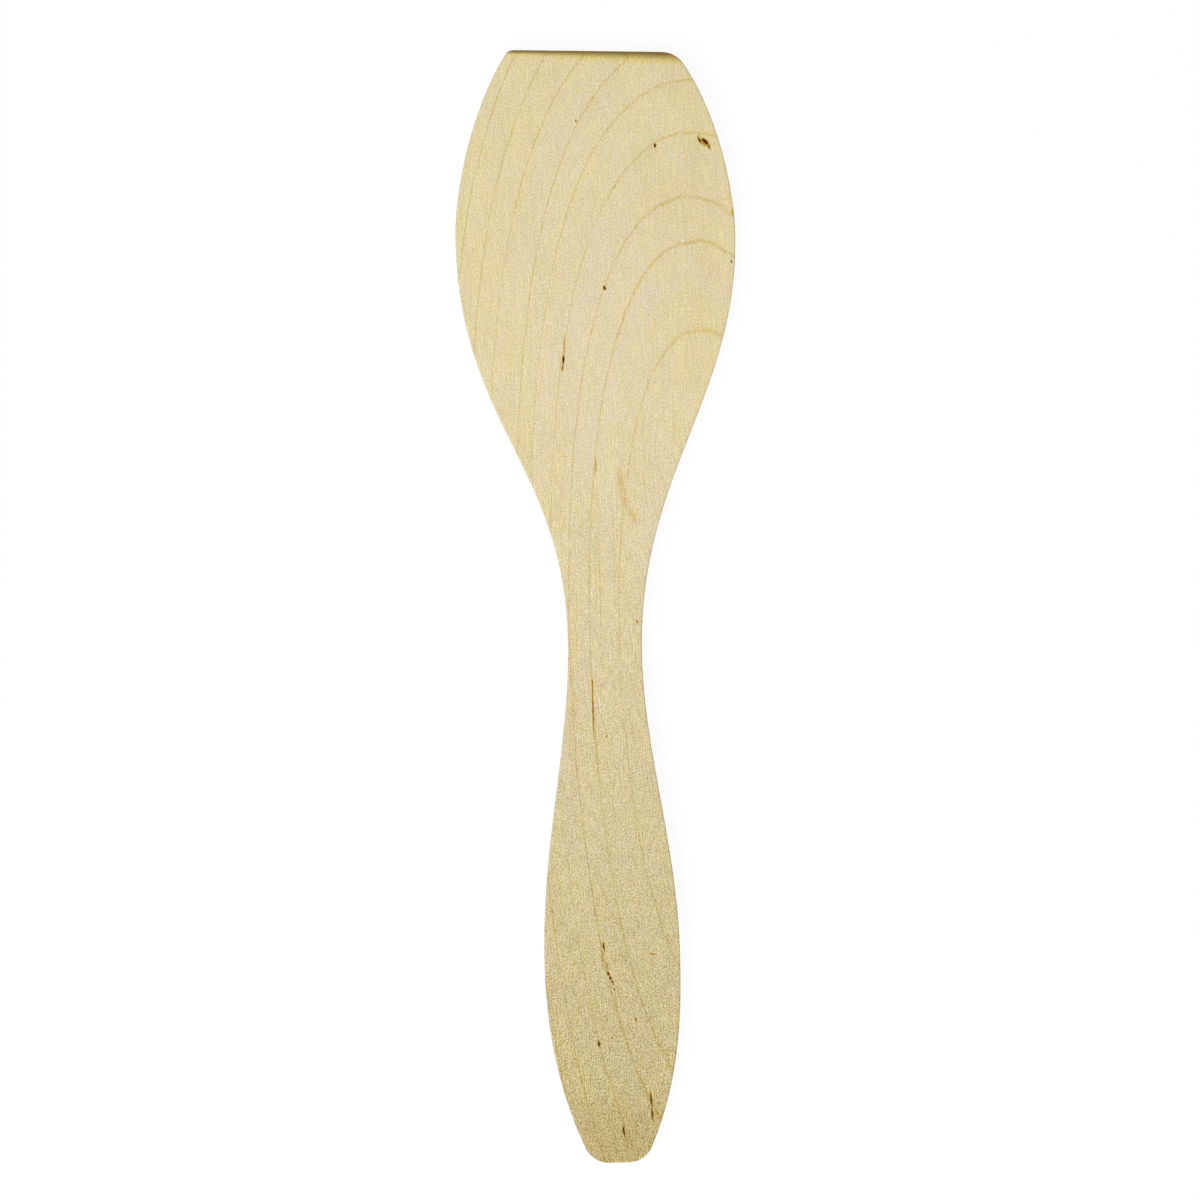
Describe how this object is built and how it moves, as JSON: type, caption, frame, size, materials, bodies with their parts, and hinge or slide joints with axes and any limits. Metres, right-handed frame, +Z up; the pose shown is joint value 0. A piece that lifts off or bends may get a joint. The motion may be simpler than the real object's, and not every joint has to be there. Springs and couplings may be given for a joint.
{
  "type": "wooden spatula",
  "caption": "Flat one-piece birch spatula: a wide blade with a straight rolled-over tip, a slim waisted neck and a leaf-shaped handle, for turning and stirring food.",
  "frame": {"origin": "on the plane that the spatula lies on, below the middle of its bounding box", "axes": "+Z up out of the upper face, +Y along the spatula from the handle to the tip of the blade, +X to the right as seen from above"},
  "size_m": [0.0752, 0.3, 0.007],
  "materials": {
    "birch": "bare, fine-sanded"
  },
  "bodies": {
    "root": {"spatula": "birch"}
  },
  "joints": []
}
